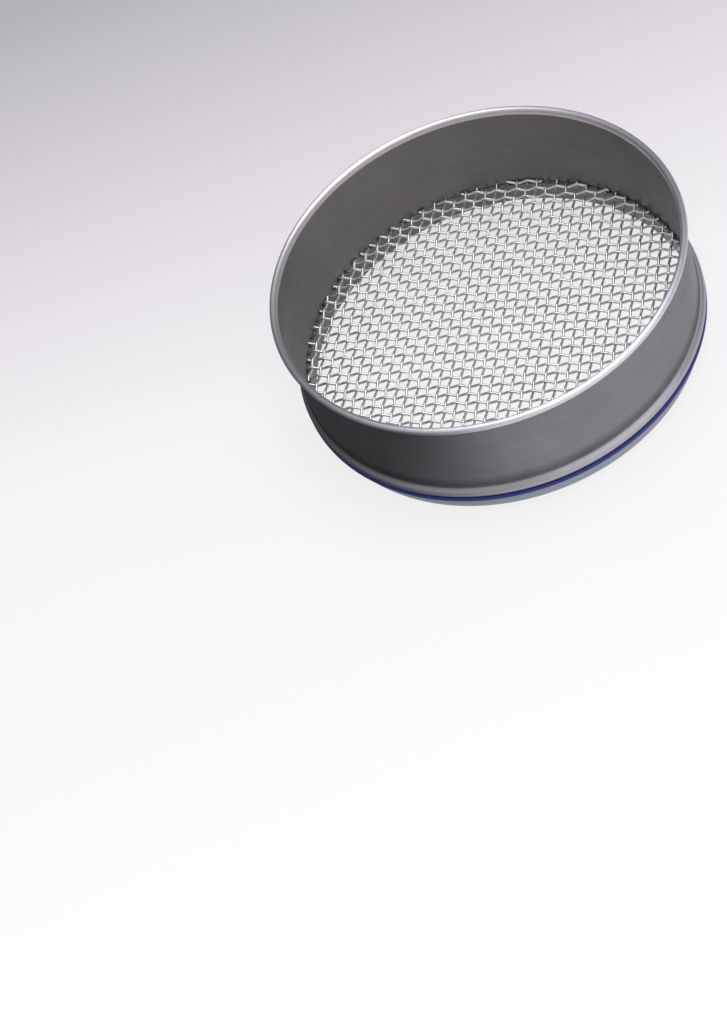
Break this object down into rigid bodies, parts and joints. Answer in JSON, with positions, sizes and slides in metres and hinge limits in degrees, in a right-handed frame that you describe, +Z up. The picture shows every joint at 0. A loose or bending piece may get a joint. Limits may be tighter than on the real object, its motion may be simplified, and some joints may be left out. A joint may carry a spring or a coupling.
{
  "type": "test sieve",
  "caption": "Round steel test sieve with a rolled rim, a coarse plain-woven wire cloth, a nesting skirt and a blue seal ring.",
  "frame": {"origin": "on the sieve's axis at the foot of the skirt, the bottom centre of the part", "axes": "+Z up along the sieve's axis, towards the rolled rim; the cloth's wires run along X and Y"},
  "size_m": [0.2074, 0.2074, 0.064],
  "materials": {
    "frame_steel": "brushed round the frame",
    "skirt_steel": "satin",
    "wire_steel": "drawn wire, bright",
    "seal_rubber": "smooth, matt"
  },
  "bodies": {
    "root": {"frame": "frame_steel", "skirt_ring": "skirt_steel", "wire_cloth": "wire_steel", "seal_ring": "seal_rubber"}
  },
  "joints": []
}
